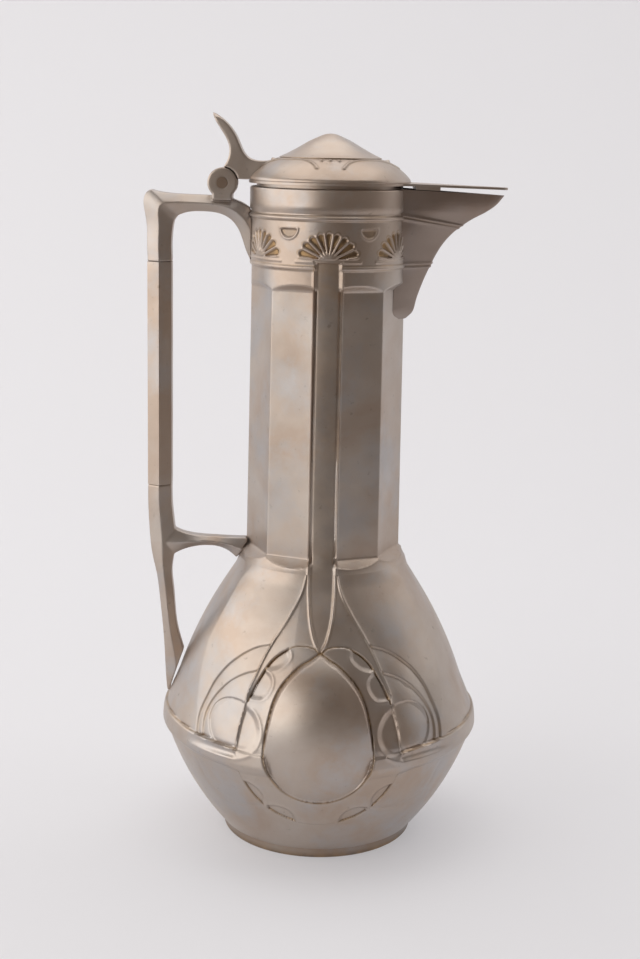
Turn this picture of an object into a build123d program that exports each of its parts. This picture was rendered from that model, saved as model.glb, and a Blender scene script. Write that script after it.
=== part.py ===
from build123d import *
from math import cos, hypot, radians, sin, tan
import os

# Pewter wine pitcher with a hinged lid. Millimetres, +Z up, foot standing on Z = 0.
# The axis of the body is Z, the spout points to +X and the handle to -X.
# The main ornament faces -Y and is repeated on the back, at +Y.
# Front view points are (x, z), with x to the right and z up.

# Foot and bottom
FOOT_HEIGHT = 5.6
FOOT_RADIUS = 48.6
FOOT_WIDTH = 5.2
FOOT_EDGE = 1.2
BOTTOM_OPENING_RADIUS = 44.0
BOTTOM_THICKNESS = 1.8
BOTTOM_GAP = 0.05

# Belly: a bowl and a shoulder, each one long arc, that meet in a band round the widest line
WALL = 1.9
BASE_RADIUS = 50.2
BOWL_TOP = 58.0
BOWL_TOP_RADIUS = 79.0
BOWL_BULGE = 3.0
SHOULDER_FOOT = 67.0
SHOULDER_FOOT_RADIUS = 78.3
SHOULDER_HEAD = 130.0
SHOULDER_HEAD_RADIUS = 51.0
SHOULDER_BULGE = 2.8
SEAM_HEIGHT = 144.1
SEAM_RADIUS = 42.0
BAND_RADIUS = 79.8
BAND_EDGE_RADIUS = 79.2

# Egg-shaped boss on the belly, a slice of a ball inside a broad ring with scallops
BOSS_CENTRE = 66.0
BOSS_RADIUS = 25.6
BOSS_TOP = 111.0
BOSS_MIDDLE = (20.9, 89.5)
BOSS_BALL_RADIUS = 54.0
BOSS_BALL_HEIGHT = 70.0
BOSS_PROUD = 1.6
GROOVE_WIDTH = 0.9
GROOVE_DEPTH = 0.5
RING_CENTRE = 65.0
RING_RADIUS = 39.6
RING_SIDE = (33.2, 90.0)
RING_CREST = (10.0, 114.3)
RING_CLEFT = (4.5, 113.4)
RING_LIFT = 0.7
SCALLOP_DEPTH = 0.7
SCALLOPS = [
    (22.0, 110.0, 8.6),
    (30.0, 95.3, 7.8),
    (40.5, 73.5, 12.8),
    (34.5, 41.0, 10.0),
    (18.0, 31.0, 9.0),
]

# Ribs that leave the neck column and run down the shoulder, and the leaves beside them
RIB_WIDTH = 1.6
RIB_LIFT = 1.1
OUTER_RIB = [(9.8, 134.0), (18.0, 122.0), (26.0, 109.0), (32.5, 93.0), (37.0, 79.0), (39.5, 66.0)]
INNER_RIB = [(6.3, 132.0), (4.9, 122.0), (0.0, 111.0)]
STEM_DEPTH = 0.5
LEAVES = [
    ((24.0, 113.5), (46.0, 100.0), (59.7, 66.0), 0.5),
    ((30.3, 101.6), (46.5, 91.7), (57.1, 66.0), 0.9),
]

# Neck: a slightly tapered tube with eight flats and a front and back column between ribs
FLARE_TOP = 156.0
FLARE_HOLLOW = 0.9
NECK_FOOT_RADIUS = 38.5
NECK_HEAD = 286.0
NECK_HEAD_RADIUS = 37.5
FLAT_COUNT = 8
FLAT_FOOT = 154.5
FLAT_HEAD = 277.0
FLAT_RUNOUT = 8.5
FLAT_RISE = 5.0
COLUMN_WIDTH = 11.8
COLUMN_DEPTH = 0.6
COLUMN_TOP = 293.4
NECK_RIB_LIFT = 0.7

# Frieze and rim
BEAD_RADIUS = 1.15
LOWER_BEAD_HEIGHT = 291.2
UPPER_BEAD_HEIGHT = 314.1
FRIEZE_FOOT = 288.0
FRIEZE_RADIUS = 37.9
FRIEZE_TOP = 315.5
RIM_RADIUS = 38.6
RIM_TOP = 327.6
RIM_ROUND = 0.9
PALMETTE_COUNT = 6
PALMETTE_FOOT = 295.3
PALMETTE_HEIGHT = 13.4
PALMETTE_HALF_WIDTH = 15.8
PETAL_COUNT = 9
PETAL_SPREAD = 164.0
PETAL_START = 4.2
PETAL_WIDTH = 2.7
FRIEZE_DEPTH = 0.6
DROP_HEIGHT = 309.6
DROP_RADIUS = 4.4

# Spout: a V-shaped beak soldered to the neck.
# Keel points are (reach from the axis, height, angle between the axis plane and each side).
SPOUT_WALL = 1.8
SPOUT_NOSE = 2.6
SPOUT_KEEL = [
    (38.6, 264.8, 52.0),
    (42.1, 268.5, 50.0),
    (44.1, 276.0, 45.0),
    (48.4, 287.5, 36.6),
    (54.4, 299.5, 31.5),
    (60.9, 307.3, 27.2),
    (68.6, 313.0, 22.4),
    (76.2, 317.2, 19.2),
    (81.4, 321.1, 17.5),
    (86.4, 327.6, 16.5),
]
SPOUT_ROOT = 30.0
MOUTH_FALL = 2.4
MOUTH_LENGTH = 50.0
MOUTH_START = 36.0
SPOUT_BEAD_LIFT = 0.8
SPOUT_BEAD_HEIGHT = 2.2
UPPER_BEAD_SLOPE = -10.0
LOWER_BEAD_SLOPE = 0.0

# Handle: a straight six-sided grip between two cast brackets.
# Bracket stations are (outer point, inner point, depth across the handle).
GRIP_X = -82.3
GRIP_THICKNESS = 11.8
GRIP_DEPTH = 15.0
FLAT_SHARE = 0.5
GRIP_BOTTOM = 179.3
GRIP_TOP = 290.3
TENON_RADIUS = 3.0
TENON_LENGTH = 12.0
TENON_GAP = 0.05
SOCKET_END_GAP = 0.5
ELBOW_LIMB = [
    ((-88.2, 294.0), (-76.4, 294.0), 15.0),
    ((-88.4, 301.0), (-76.4, 301.0), 15.0),
    ((-88.9, 311.0), (-75.6, 308.6), 15.0),
    ((-90.0, 319.6), (-74.8, 311.0), 15.4),
    ((-86.4, 325.0), (-73.6, 312.6), 15.4),
]
REACH_LIMB = [
    ((-80.0, 323.6), (-69.0, 314.3), 14.6),
    ((-69.0, 322.9), (-63.0, 314.9), 14.2),
    ((-57.0, 322.6), (-55.5, 314.5), 14.0),
    ((-45.0, 320.6), (-47.4, 311.0), 13.6),
    ((-36.0, 314.5), (-42.6, 303.6), 12.6),
    ((-32.0, 304.0), (-40.2, 296.4), 11.0),
    ((-32.0, 295.0), (-38.2, 291.6), 9.0),
]
TAIL_LIMB = [
    ((-88.2, 175.0), (-76.4, 175.0), 15.0),
    ((-88.2, 170.0), (-76.3, 170.0), 14.8),
    ((-88.0, 164.0), (-75.8, 164.0), 14.4),
    ((-86.9, 148.0), (-74.8, 148.0), 13.6),
    ((-84.2, 133.7), (-76.4, 133.7), 12.4),
    ((-82.2, 117.7), (-75.0, 117.7), 11.4),
    ((-80.7, 101.6), (-73.0, 101.6), 10.4),
    ((-79.8, 85.4), (-69.0, 86.6), 9.0),
    ((-79.2, 74.0), (-70.0, 76.0), 6.6),
    ((-78.8, 69.4), (-72.0, 72.0), 4.0),
]
BRANCH_LIMB = [
    ((-80.6, 163.0), (-80.6, 138.0), 12.0),
    ((-75.4, 156.6), (-75.4, 142.8), 11.4),
    ((-66.0, 153.4), (-66.0, 146.8), 10.6),
    ((-54.0, 152.5), (-54.0, 147.5), 10.2),
    ((-45.0, 152.2), (-47.4, 145.0), 11.0),
    ((-36.0, 152.0), (-38.6, 137.0), 12.6),
]

# Hinge: a knuckle on the lid lever turns between two ears of the handle
HINGE_X = -51.8
HINGE_HEIGHT = 328.8
EAR_RADIUS = 7.2
HINGE_WIDTH = 14.0
EAR_GAP = 0.45
KNUCKLE_RADIUS = 6.5
KNUCKLE_WIDTH = 6.4
KNUCKLE_GAP = 0.35
EAR_NECK_WIDTH = 9.6
EAR_NECK_SINK = 2.0
PIN_RADIUS = 2.1
PIN_GAP = 0.05
PIN_PRESS_GAP = 0.02
PIN_HEAD_RADIUS = 2.6
PIN_HEAD_THICKNESS = 0.35

# Lid
LID_BOTTOM = 329.2
PLATE_THICKNESS = 1.1
LID_RADIUS = 39.2
DOME_RADIUS = 38.8
LID_WALL = 1.5
LID_TOP = 353.0
STEP_RADIUS = 24.6
STEP_HEIGHT = 341.2
STEP_RISE = 0.6
TIER_BULGE = 1.4
CONE_SHOULDER = (15.0, 346.6)
CONE_CROWN = (6.0, 351.3)
BEAK_REACH = 86.2
BEAK_FALL = 1.3
BEAK_OVERHANG = 1.2
BEZEL_GAP = 1.2
BEZEL_THICKNESS = 1.4
BEZEL_DEPTH = 3.2
REST_START = 40.8
REST_LENGTH = 12.0
REST_GAP = 0.3
THUMB_FACE = [(-53.2, 359.9), (-44.6, 349.8), (-39.3, 340.9), (-34.6, 339.5), (-24.8, 341.6)]
THUMB_BACK = [(-52.6, 353.9), (-49.5, 348.6), (-48.5, 344.7), (-49.1, 340.5), (-52.5, 335.0)]
THUMB_TIP = (-56.8, 362.0)
THUMB_END_ROUND = 5.0
LEVER_FOOT = (-24.8, 330.6)

# Cutters: where they start inside the body, how far they go, and how far they pass a thin wall
NEAR = 12.0
FAR = 120.0
CUT_PAST = 5.0


def region(edges):
    """A flat face in the front view, from edges that close on themselves."""
    return Plane.XZ * Face(Wire(edges))


def polyline(points):
    """Straight edges through the points, in order."""
    return [Line(a, b) for a, b in zip(points, points[1:])]


def mirrored(point):
    """The same point on the other side of the axis."""
    return (-point[0], point[1])


def turned(edges):
    """A half outline, drawn right of the axis, turned round Z."""
    return revolve(region(edges), Axis.Z)


def bulged(start, end, bulge):
    """The middle of an arc from start to end that stands out to the right by its bulge."""
    run, rise = end[0] - start[0], end[1] - start[1]
    length = hypot(run, rise)
    return ((start[0] + end[0]) / 2 + bulge * rise / length, (start[1] + end[1]) / 2 - bulge * run / length)


def moved_out(points, amount):
    """The points of a curve that runs up, each moved square to the curve, away from the axis."""
    before = [points[0]] + points[:-1]
    after = points[1:] + [points[-1]]
    moved = []
    for point, low, high in zip(points, before, after):
        run, rise = high[0] - low[0], high[1] - low[1]
        length = hypot(run, rise)
        moved.append((point[0] + amount * rise / length, point[1] - amount * run / length))
    return moved


def filled(edges, low, high):
    """The solid between the axis and a curve from low to high, turned round Z."""
    return turned(edges + polyline([high, (0, high[1]), (0, low[1]), low]))


def above(shape, height):
    """The part of a shape above a height."""
    return split(shape, Plane.XY.offset(height), keep=Keep.TOP)


def front_prism(face):
    """A front view face pushed out towards -Y, from inside the body to past everything."""
    return extrude(Pos(0, -NEAR, 0) * face, amount=FAR, dir=(0, -1, 0))


def both_sides(shape):
    """A shape and its mirror image at the back of the pitcher."""
    return shape + mirror(shape, about=Plane.XZ)


def raised(face, surface):
    """A front view face as a pad up to a surface."""
    return front_prism(face) & surface


def sunk(face, surface):
    """What to cut to sink a front view face down to a surface."""
    return front_prism(face) - surface


def belly_form(grow=0):
    """The solid belly without its band, from the bottom edge to the neck seam, grown by an amount."""
    base = (BASE_RADIUS, FOOT_HEIGHT)
    bowl_top = (BOWL_TOP_RADIUS, BOWL_TOP)
    shoulder_foot = (SHOULDER_FOOT_RADIUS, SHOULDER_FOOT)
    shoulder_head = (SHOULDER_HEAD_RADIUS, SHOULDER_HEAD)
    bowl_middle = bulged(base, bowl_top, BOWL_BULGE)
    shoulder_middle = bulged(shoulder_foot, shoulder_head, SHOULDER_BULGE)
    seam = (SEAM_RADIUS, SEAM_HEIGHT)
    line = [base, bowl_middle, bowl_top, shoulder_foot, shoulder_middle, shoulder_head, seam]
    p = moved_out(line, grow)
    edges = [ThreePointArc(*p[0:3]), Line(*p[2:4]), ThreePointArc(*p[3:6]), Line(*p[5:7])]
    return filled(edges, p[0], p[-1])


def neck_form(grow=0, top=RIM_TOP):
    """The solid round neck without beads or flats, from the seam to its top, grown by an amount."""
    seam = (SEAM_RADIUS, SEAM_HEIGHT)
    flare_top = (NECK_FOOT_RADIUS, FLARE_TOP)
    line = [
        seam,
        bulged(seam, flare_top, -FLARE_HOLLOW),
        flare_top,
        (NECK_HEAD_RADIUS, NECK_HEAD),
        (FRIEZE_RADIUS, FRIEZE_FOOT),
        (FRIEZE_RADIUS, FRIEZE_TOP),
        (RIM_RADIUS, FRIEZE_TOP + (RIM_RADIUS - FRIEZE_RADIUS)),
        (RIM_RADIUS, top),
    ]
    p = moved_out(line, grow)
    return filled([ThreePointArc(*p[0:3])] + polyline(p[2:]), p[0], p[-1])


def boss_face():
    """Egg outline: half a circle below and two arcs that meet in a point above."""
    right = (BOSS_RADIUS, BOSS_CENTRE)
    left = mirrored(right)
    top = (0, BOSS_TOP)
    return region([
        ThreePointArc(left, (0, BOSS_CENTRE - BOSS_RADIUS), right),
        ThreePointArc(right, BOSS_MIDDLE, top),
        ThreePointArc(top, mirrored(BOSS_MIDDLE), left),
    ])


def ring_face():
    """Outer outline of the ring: a circle below and two lobes with a cleft above."""
    right = (RING_RADIUS, RING_CENTRE)
    left = mirrored(right)
    cleft = (0, BOSS_TOP)
    return region([
        ThreePointArc(left, (0, RING_CENTRE - RING_RADIUS), right),
        ThreePointArc(right, RING_SIDE, RING_CREST),
        ThreePointArc(RING_CREST, RING_CLEFT, cleft),
        ThreePointArc(cleft, mirrored(RING_CLEFT), mirrored(RING_CREST)),
        ThreePointArc(mirrored(RING_CREST), mirrored(RING_SIDE), left),
    ])


def scallop_faces():
    """Circles that bite into the edge of the ring, on both sides."""
    circles = [(side * x, z, r) for x, z, r in SCALLOPS for side in (-1, 1)]
    return Plane.XZ * Sketch([Pos(x, z) * Circle(r).face() for x, z, r in circles])


def rib_line(points, side=1):
    """Centre line of a rib on one side, from the edge of the neck column down through the points."""
    start = ((COLUMN_WIDTH + RIB_WIDTH) / 2, SEAM_HEIGHT)
    return Spline([(side * x, z) for x, z in [start] + points])


def rib_faces(points):
    """A strip along a rib, right and left."""
    return Plane.XZ * Sketch([trace(rib_line(points, side), RIB_WIDTH).face() for side in (1, -1)])


def leaf_face(start, crown, end):
    """The field between the outer rib, a leaf arc and the band, right and left."""
    rib_foot = OUTER_RIB[-1]
    edges = [ThreePointArc(start, crown, end), Line(end, (rib_foot[0], end[1])), Line((rib_foot[0], end[1]), start)]
    field = Face(Wire(edges))
    return Plane.XZ * Sketch([field, mirror(field, about=Plane.YZ)])


def stem_face():
    """The hollow between the inner ribs, from the neck column down to the point of the egg."""
    right = rib_line(INNER_RIB)
    left = rib_line(INNER_RIB, -1)
    return region([right, left, Line(left @ 0, right @ 0)])


def front_half(shape):
    """The half of a shape in front of the plane through handle and spout."""
    return split(shape, Plane.XZ, keep=Keep.TOP)


def make_belly_front():
    """Front half of the belly; the two halves are soldered under the handle and the spout."""
    core = front_half(belly_form())
    ring = ring_face()
    boss = boss_face()
    groove = offset(boss, GROOVE_WIDTH)

    band_edges = [ThreePointArc(
        (BAND_EDGE_RADIUS, BOWL_TOP),
        (BAND_RADIUS, (BOWL_TOP + SHOULDER_FOOT) / 2),
        (BAND_EDGE_RADIUS, SHOULDER_FOOT),
    )]
    inside = BOWL_TOP_RADIUS - WALL / 2
    band_edges += polyline([(BAND_EDGE_RADIUS, SHOULDER_FOOT), (inside, SHOULDER_FOOT)])
    band_edges += polyline([(inside, SHOULDER_FOOT), (inside, BOWL_TOP), (BAND_EDGE_RADIUS, BOWL_TOP)])
    band = front_half(turned(band_edges)) - front_prism(ring)

    body = core + band
    for start, crown, end, depth in LEAVES:
        body -= sunk(leaf_face(start, crown, end) - ring, belly_form(-depth))
    body += raised(ring - groove, belly_form(RING_LIFT))
    body -= sunk(scallop_faces() & ring, belly_form(-SCALLOP_DEPTH))
    body -= sunk(groove, belly_form(-GROOVE_DEPTH))
    body -= sunk(stem_face(), belly_form(-STEM_DEPTH))

    ball_y = BOSS_BALL_RADIUS - BAND_RADIUS - BOSS_PROUD
    ball = Pos(0, ball_y, BOSS_BALL_HEIGHT) * Sphere(BOSS_BALL_RADIUS)
    body += raised(boss, ball)

    rib_top = belly_form(RIB_LIFT)
    below_seam = Pos(0, 0, SEAM_HEIGHT / 2) * Box(2 * FAR, 2 * FAR, SEAM_HEIGHT)
    for points in (OUTER_RIB, INNER_RIB):
        body += raised(rib_faces(points), rib_top) & below_seam

    floor = FOOT_HEIGHT + BOTTOM_THICKNESS
    cavity = above(belly_form(-WALL), floor)
    mouth = Pos(0, 0, SEAM_HEIGHT) * Cylinder(SEAM_RADIUS - WALL, 2 * CUT_PAST)
    opening = Pos(0, 0, FOOT_HEIGHT) * Cylinder(BOTTOM_OPENING_RADIUS, 2 * CUT_PAST)
    return body - cavity - mouth - opening


def make_belly_back():
    return mirror(make_belly_front(), about=Plane.XZ)


def make_foot_ring():
    """Plain ring under the bowl that the pitcher stands on."""
    ring = Cylinder(FOOT_RADIUS, FOOT_HEIGHT, align=(Align.CENTER, Align.CENTER, Align.MIN))
    ring -= Cylinder(FOOT_RADIUS - FOOT_WIDTH, FOOT_HEIGHT, align=(Align.CENTER, Align.CENTER, Align.MIN))
    return fillet(ring.edges().group_by(Axis.Z)[0], FOOT_EDGE)


def make_base_plate():
    """Round bottom let into the opening of the bowl, seated on the foot ring."""
    radius = BOTTOM_OPENING_RADIUS - BOTTOM_GAP
    plate = Cylinder(radius, BOTTOM_THICKNESS, align=(Align.CENTER, Align.CENTER, Align.MIN))
    return Pos(0, 0, FOOT_HEIGHT) * plate


def flat_cutter(inset):
    """What one flat takes off the neck: a tall prism with a curved run-out at both ends."""
    across = cos(radians(180 / FLAT_COUNT))
    foot = (NECK_FOOT_RADIUS * across - inset, FLAT_FOOT)
    head = (NECK_HEAD_RADIUS * across - inset, FLAT_HEAD)
    foot_end = (foot[0] + FLAT_RUNOUT, FLAT_FOOT - FLAT_RUNOUT)
    head_end = (head[0] + FLAT_RISE, FLAT_HEAD + FLAT_RUNOUT)
    side = [
        TangentArc(foot, foot_end, tangent=(0, -1)),
        Line(foot, head),
        TangentArc(head, head_end, tangent=(0, 1)),
    ]
    outside = [foot_end, (FAR, foot_end[1]), (FAR, head_end[1]), head_end]
    return extrude(region(side + polyline(outside)), amount=NECK_FOOT_RADIUS, both=True)


def flatted(neck, inset=0):
    """The neck with its ring of flats."""
    step = 360 / FLAT_COUNT
    cutter = flat_cutter(inset)
    for index in range(FLAT_COUNT):
        neck -= Rot(0, 0, step * (index + 0.5)) * cutter
    return neck


def column_face(width, low, high):
    """A tall upright strip in the front view."""
    return Plane.XZ * (Pos(0, (low + high) / 2) * Rectangle(width, high - low).face())


def bead(radius, height):
    """A round bead that runs round the neck."""
    return Pos(0, 0, height) * Torus(radius, BEAD_RADIUS)


def petal_faces():
    """The petals of one palmette, fanned from the middle of its foot."""
    petals = []
    for index in range(PETAL_COUNT):
        angle = (index / (PETAL_COUNT - 1) - 0.5) * PETAL_SPREAD
        lean = radians(angle)
        reach = hypot(PALMETTE_HALF_WIDTH * sin(lean), PALMETTE_HEIGHT * cos(lean))
        half_length = (reach - PETAL_START) / 2
        centre = PETAL_START + half_length
        place = Pos(0, PALMETTE_FOOT) * Rot(0, 0, -angle) * Pos(0, centre)
        petals.append((place * Ellipse(PETAL_WIDTH / 2, half_length)).face())
    return Plane.XZ * Sketch(petals)


def drop_face():
    """The half-round drop between two palmettes."""
    left, right = (-DROP_RADIUS, DROP_HEIGHT), (DROP_RADIUS, DROP_HEIGHT)
    return region([ThreePointArc(left, (0, DROP_HEIGHT - DROP_RADIUS), right), Line(right, left)])


def neck_beads():
    """The two round beads above and below the frieze."""
    return bead(FRIEZE_RADIUS, UPPER_BEAD_HEIGHT) + bead(FRIEZE_RADIUS - BEAD_RADIUS / 2, LOWER_BEAD_HEIGHT)


def frieze_cuts():
    """What the palmettes and the drops take off the frieze, all the way round."""
    ground = Pos(0, 0, LOWER_BEAD_HEIGHT) * Cylinder(
        FRIEZE_RADIUS - FRIEZE_DEPTH,
        UPPER_BEAD_HEIGHT - LOWER_BEAD_HEIGHT,
        align=(Align.CENTER, Align.CENTER, Align.MIN),
    )
    petals = front_prism(petal_faces()) - ground
    drop = front_prism(drop_face()) - ground
    step = 360 / PALMETTE_COUNT
    cuts = []
    for index in range(PALMETTE_COUNT):
        cuts += (Rot(0, 0, step * index) * petals).solids()
        cuts += (Rot(0, 0, step * (index + 0.5)) * drop).solids()
    return cuts


def make_neck():
    blank = neck_form()
    blank = fillet(blank.edges().group_by(Axis.Z)[-1], RIM_ROUND)
    neck = flatted(blank) + neck_beads()

    column = column_face(COLUMN_WIDTH, SEAM_HEIGHT, COLUMN_TOP)
    neck -= both_sides(sunk(column, neck_form(-COLUMN_DEPTH)))
    ribs = column_face(COLUMN_WIDTH + 2 * RIB_WIDTH, SEAM_HEIGHT, LOWER_BEAD_HEIGHT) - column
    neck += both_sides(raised(ribs, neck_form(NECK_RIB_LIFT)))
    neck -= flatted(neck_form(-WALL, RIM_TOP + WALL), WALL)
    neck -= frieze_cuts()
    return neck - spout_form(-SPOUT_WALL, SPOUT_ROOT / 2)


def spout_section(reach, height, slant, grow, root):
    """A level cut of the spout: a wedge from the neck to a rounded keel, as a face."""
    slant = radians(slant)
    centre = reach - SPOUT_NOSE
    nose = SPOUT_NOSE + grow
    touch = (centre + nose * sin(slant), nose * cos(slant))
    corner = (root, nose / cos(slant) + (centre - root) * tan(slant))
    low_touch, low_corner = (touch[0], -touch[1]), (corner[0], -corner[1])
    edges = [Line(corner, touch), ThreePointArc(touch, (reach + grow, 0), low_touch)]
    edges += [Line(low_touch, low_corner), Line(low_corner, corner)]
    return Pos(0, 0, height) * Face(Wire(edges))


def spout_form(grow=0, root=SPOUT_ROOT):
    """The solid beak, grown by an amount, from its root inside the neck."""
    return loft([spout_section(reach, height, slant, grow, root) for reach, height, slant in SPOUT_KEEL])


def mouth_cut():
    """Everything above the mouth of the spout, which falls a little towards its tip."""
    start = (0, RIM_TOP)
    tip = (MOUTH_START + FAR, RIM_TOP - MOUTH_FALL * FAR / MOUTH_LENGTH)
    level = (MOUTH_START, RIM_TOP)
    outline = polyline([start, level, tip, (tip[0], RIM_TOP + FAR), (0, RIM_TOP + FAR), start])
    return extrude(region(outline), amount=FAR, both=True)


def slanted_bead(height, slope):
    """A thin slab through the spout at a bead of the neck, tilted down towards the tip."""
    slab = Box(FAR, FAR, SPOUT_BEAD_HEIGHT, align=(Align.MIN, Align.CENTER, Align.CENTER))
    return Pos(RIM_RADIUS, 0, height) * Rot(0, -slope, 0) * slab


def make_spout():
    outside = spout_form()
    rims = spout_form(SPOUT_BEAD_LIFT)
    outside += rims & slanted_bead(UPPER_BEAD_HEIGHT, UPPER_BEAD_SLOPE)
    outside += rims & slanted_bead(LOWER_BEAD_HEIGHT, LOWER_BEAD_SLOPE)
    spout = outside - spout_form(-SPOUT_WALL) - mouth_cut()
    return spout - neck_outside()


def neck_outside():
    """The neck and the belly without their relief, for pieces that are soldered on them."""
    return flatted(neck_form()) + neck_beads() + belly_form()


def hex_section(outer, inner, depth):
    """A six-sided face across a limb, with its flats square to the line from outer to inner."""
    flat = depth * FLAT_SHARE / 2
    middle = ((outer[0] + inner[0]) / 2, (outer[1] + inner[1]) / 2)
    corners = [
        Vector(outer[0], -flat, outer[1]),
        Vector(middle[0], -depth / 2, middle[1]),
        Vector(inner[0], -flat, inner[1]),
        Vector(inner[0], flat, inner[1]),
        Vector(middle[0], depth / 2, middle[1]),
        Vector(outer[0], flat, outer[1]),
    ]
    return Face(Wire.make_polygon(corners, close=True))


def limb(stations):
    """A six-sided bar that passes smoothly through its stations."""
    return loft([hex_section(*station) for station in stations])


def grip_station(height):
    """The section of the straight grip at a height."""
    half = GRIP_THICKNESS / 2
    return ((GRIP_X - half, height), (GRIP_X + half, height), GRIP_DEPTH)


def tenon(height, direction):
    """Round tenon of a bracket, from the end of the grip into its socket."""
    pin = Cylinder(TENON_RADIUS, TENON_LENGTH, align=(Align.CENTER, Align.CENTER, Align.MIN))
    return Pos(GRIP_X, 0, height) * Rot(90 - 90 * direction, 0, 0) * pin


def hinge_cylinder(radius, width):
    """A cylinder on the hinge line, centred across the pitcher."""
    return Pos(HINGE_X, 0, HINGE_HEIGHT) * Rot(90, 0, 0) * Cylinder(radius, width)


def make_handle_grip():
    bar = limb([grip_station(GRIP_BOTTOM), grip_station(GRIP_TOP)])
    socket = Cylinder(TENON_RADIUS + TENON_GAP, 2 * (TENON_LENGTH + SOCKET_END_GAP))
    return bar - Pos(GRIP_X, 0, GRIP_BOTTOM) * socket - Pos(GRIP_X, 0, GRIP_TOP) * socket


def make_handle_top_bracket():
    elbow = limb([grip_station(GRIP_TOP)] + ELBOW_LIMB)
    reach = limb([ELBOW_LIMB[-1]] + REACH_LIMB)
    arm_height = REACH_LIMB[2][0][1] - EAR_NECK_SINK
    ear_neck = Pos(HINGE_X, 0, arm_height) * Box(
        EAR_NECK_WIDTH, HINGE_WIDTH, HINGE_HEIGHT - arm_height, align=(Align.CENTER, Align.CENTER, Align.MIN)
    )
    bracket = elbow + reach + ear_neck + hinge_cylinder(EAR_RADIUS, HINGE_WIDTH)
    bracket -= hinge_cylinder(KNUCKLE_RADIUS + EAR_GAP, KNUCKLE_WIDTH + 2 * KNUCKLE_GAP)
    slot_width = KNUCKLE_WIDTH + 2 * KNUCKLE_GAP
    above_hinge = Box(4 * EAR_RADIUS, slot_width, 2 * EAR_RADIUS, align=(Align.CENTER, Align.CENTER, Align.MIN))
    bracket -= Pos(HINGE_X, 0, HINGE_HEIGHT) * above_hinge
    bracket -= hinge_cylinder(PIN_RADIUS + PIN_PRESS_GAP, 2 * HINGE_WIDTH)
    return bracket - neck_outside() + tenon(GRIP_TOP, -1)


def make_handle_bottom_bracket():
    tail = limb([grip_station(GRIP_BOTTOM)] + TAIL_LIMB)
    branch = limb(BRANCH_LIMB)
    return tail + branch - neck_outside() + tenon(GRIP_BOTTOM, 1)


def make_hinge_pin():
    pin = hinge_cylinder(PIN_RADIUS, HINGE_WIDTH)
    offset_y = (HINGE_WIDTH + PIN_HEAD_THICKNESS) / 2
    for side in (-1, 1):
        pin += Pos(0, side * offset_y, 0) * hinge_cylinder(PIN_HEAD_RADIUS, PIN_HEAD_THICKNESS)
    return pin


def dome_form(inset=0):
    """The solid of the lid dome, with its walls moved in by an amount."""
    base = LID_BOTTOM + PLATE_THICKNESS
    edge, step = (DOME_RADIUS - inset, base), (STEP_RADIUS - inset, STEP_HEIGHT - inset)
    cone_foot = (step[0] - STEP_RISE, step[1] + STEP_RISE)
    shoulder, crown = [(x, z - inset) for x, z in (CONE_SHOULDER, CONE_CROWN)]
    top = (0, LID_TOP - inset)
    cone = Spline([cone_foot, shoulder, crown, top], tangents=[(-2, 1), (-1, 0)])
    tier = ThreePointArc(edge, bulged(edge, step, TIER_BULGE), step)
    return turned([tier, Line(step, cone_foot), cone] + polyline([top, (0, base), edge]))


def make_lid_dome():
    return dome_form() - dome_form(LID_WALL)


def plate_plan(grow):
    """The plate seen from above, made tall: a disc with a beak that covers the spout."""
    slant = SPOUT_KEEL[-1][2]
    beak = extrude(spout_section(BEAK_REACH - BEAK_OVERHANG, RIM_TOP, slant, grow, 0), amount=FAR, both=True)
    return beak + Pos(0, 0, RIM_TOP) * Cylinder(LID_RADIUS, 2 * FAR)


def plate_side(bottom, top):
    """A slab between two heights, level under the dome and falling a little along the beak."""
    side = polyline([
        (-LID_RADIUS, bottom),
        (LID_RADIUS, bottom),
        (BEAK_REACH, bottom - BEAK_FALL),
        (BEAK_REACH, top - BEAK_FALL),
        (LID_RADIUS, top),
        (-LID_RADIUS, top),
        (-LID_RADIUS, bottom),
    ])
    return extrude(region(side), amount=FAR, both=True)


def make_lid_plate():
    """Flat plate with a ring under the dome and a beak over the spout."""
    slab = plate_side(LID_BOTTOM, LID_BOTTOM + PLATE_THICKNESS)
    hole = Pos(0, 0, LID_BOTTOM) * Cylinder(bezel_radius() - BEZEL_THICKNESS, 2 * CUT_PAST)
    return (slab & plate_plan(BEAK_OVERHANG)) - hole


def bezel_radius():
    """Outer radius of the ring that centres the lid in the neck."""
    return RIM_RADIUS - WALL - BEZEL_GAP


def make_lid_bezel():
    ring = Cylinder(bezel_radius(), BEZEL_DEPTH, align=(Align.CENTER, Align.CENTER, Align.MAX))
    ring -= Cylinder(bezel_radius() - BEZEL_THICKNESS, BEZEL_DEPTH, align=(Align.CENTER, Align.CENTER, Align.MAX))
    return Pos(0, 0, LID_BOTTOM) * ring


def make_lid_rest():
    """Lug under the beak that comes down just above the edges of the spout."""
    lug = Pos(REST_START, 0, 0) * Box(
        REST_LENGTH, 2 * FAR, LID_BOTTOM, align=(Align.MIN, Align.CENTER, Align.MIN)
    )
    return lug & plate_plan(0) & (Pos(0, 0, REST_GAP) * mouth_cut()) & plate_side(0, LID_BOTTOM)


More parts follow.
